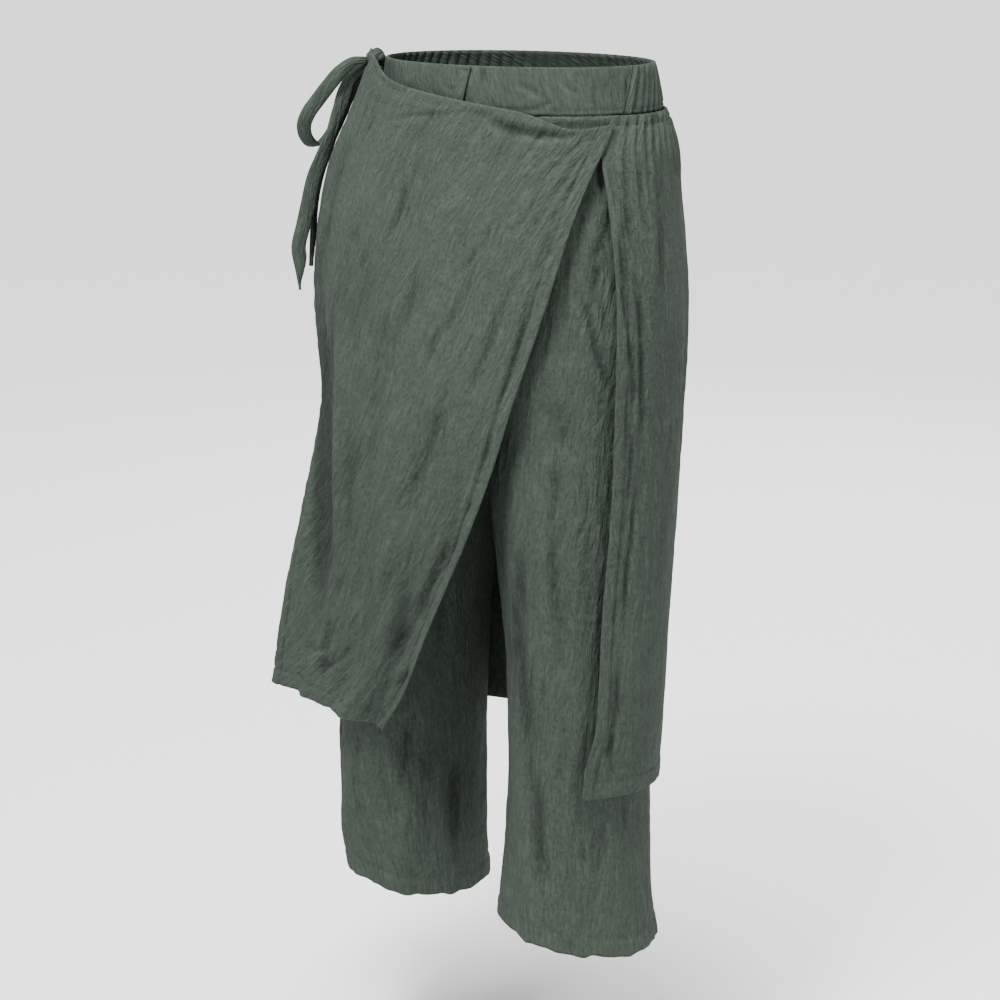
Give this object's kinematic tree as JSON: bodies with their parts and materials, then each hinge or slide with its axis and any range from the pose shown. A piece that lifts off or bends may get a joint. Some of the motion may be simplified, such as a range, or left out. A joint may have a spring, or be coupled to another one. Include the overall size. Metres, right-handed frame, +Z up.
{
  "type": "wrap pants",
  "caption": "Cropped wide-leg wrap pants in sage green crinkled cotton, with a front and a back overskirt panel tied in a bow at the right hip.",
  "frame": {"origin": "middle of the waist opening, half-way up the waistband", "axes": "+Z up, the front faces -Y, the wearer's left is +X"},
  "size_m": [0.3972, 0.2639, 0.8273],
  "materials": {
    "cloth": "matte crinkled cotton crepe, sage green",
    "band_cloth": "matte crinkled cotton crepe, doubled and stitched, gathered on elastic at the back",
    "tie_cloth": "matte crinkled cotton crepe, narrow folded strips"
  },
  "bodies": {
    "root": {"trouser_front_right": "cloth", "trouser_front_left": "cloth", "trouser_back_right": "cloth", "trouser_back_left": "cloth", "wrap_front": "cloth", "wrap_back": "cloth", "waistband_front": "band_cloth", "waistband_back": "band_cloth", "belt_loop": "band_cloth", "tie_knot": "tie_cloth", "tie_back_strap": "tie_cloth", "bow_loop_front": "tie_cloth", "bow_loop_back": "tie_cloth", "tie_tail_long": "tie_cloth", "tie_tail_short": "tie_cloth"}
  },
  "joints": []
}
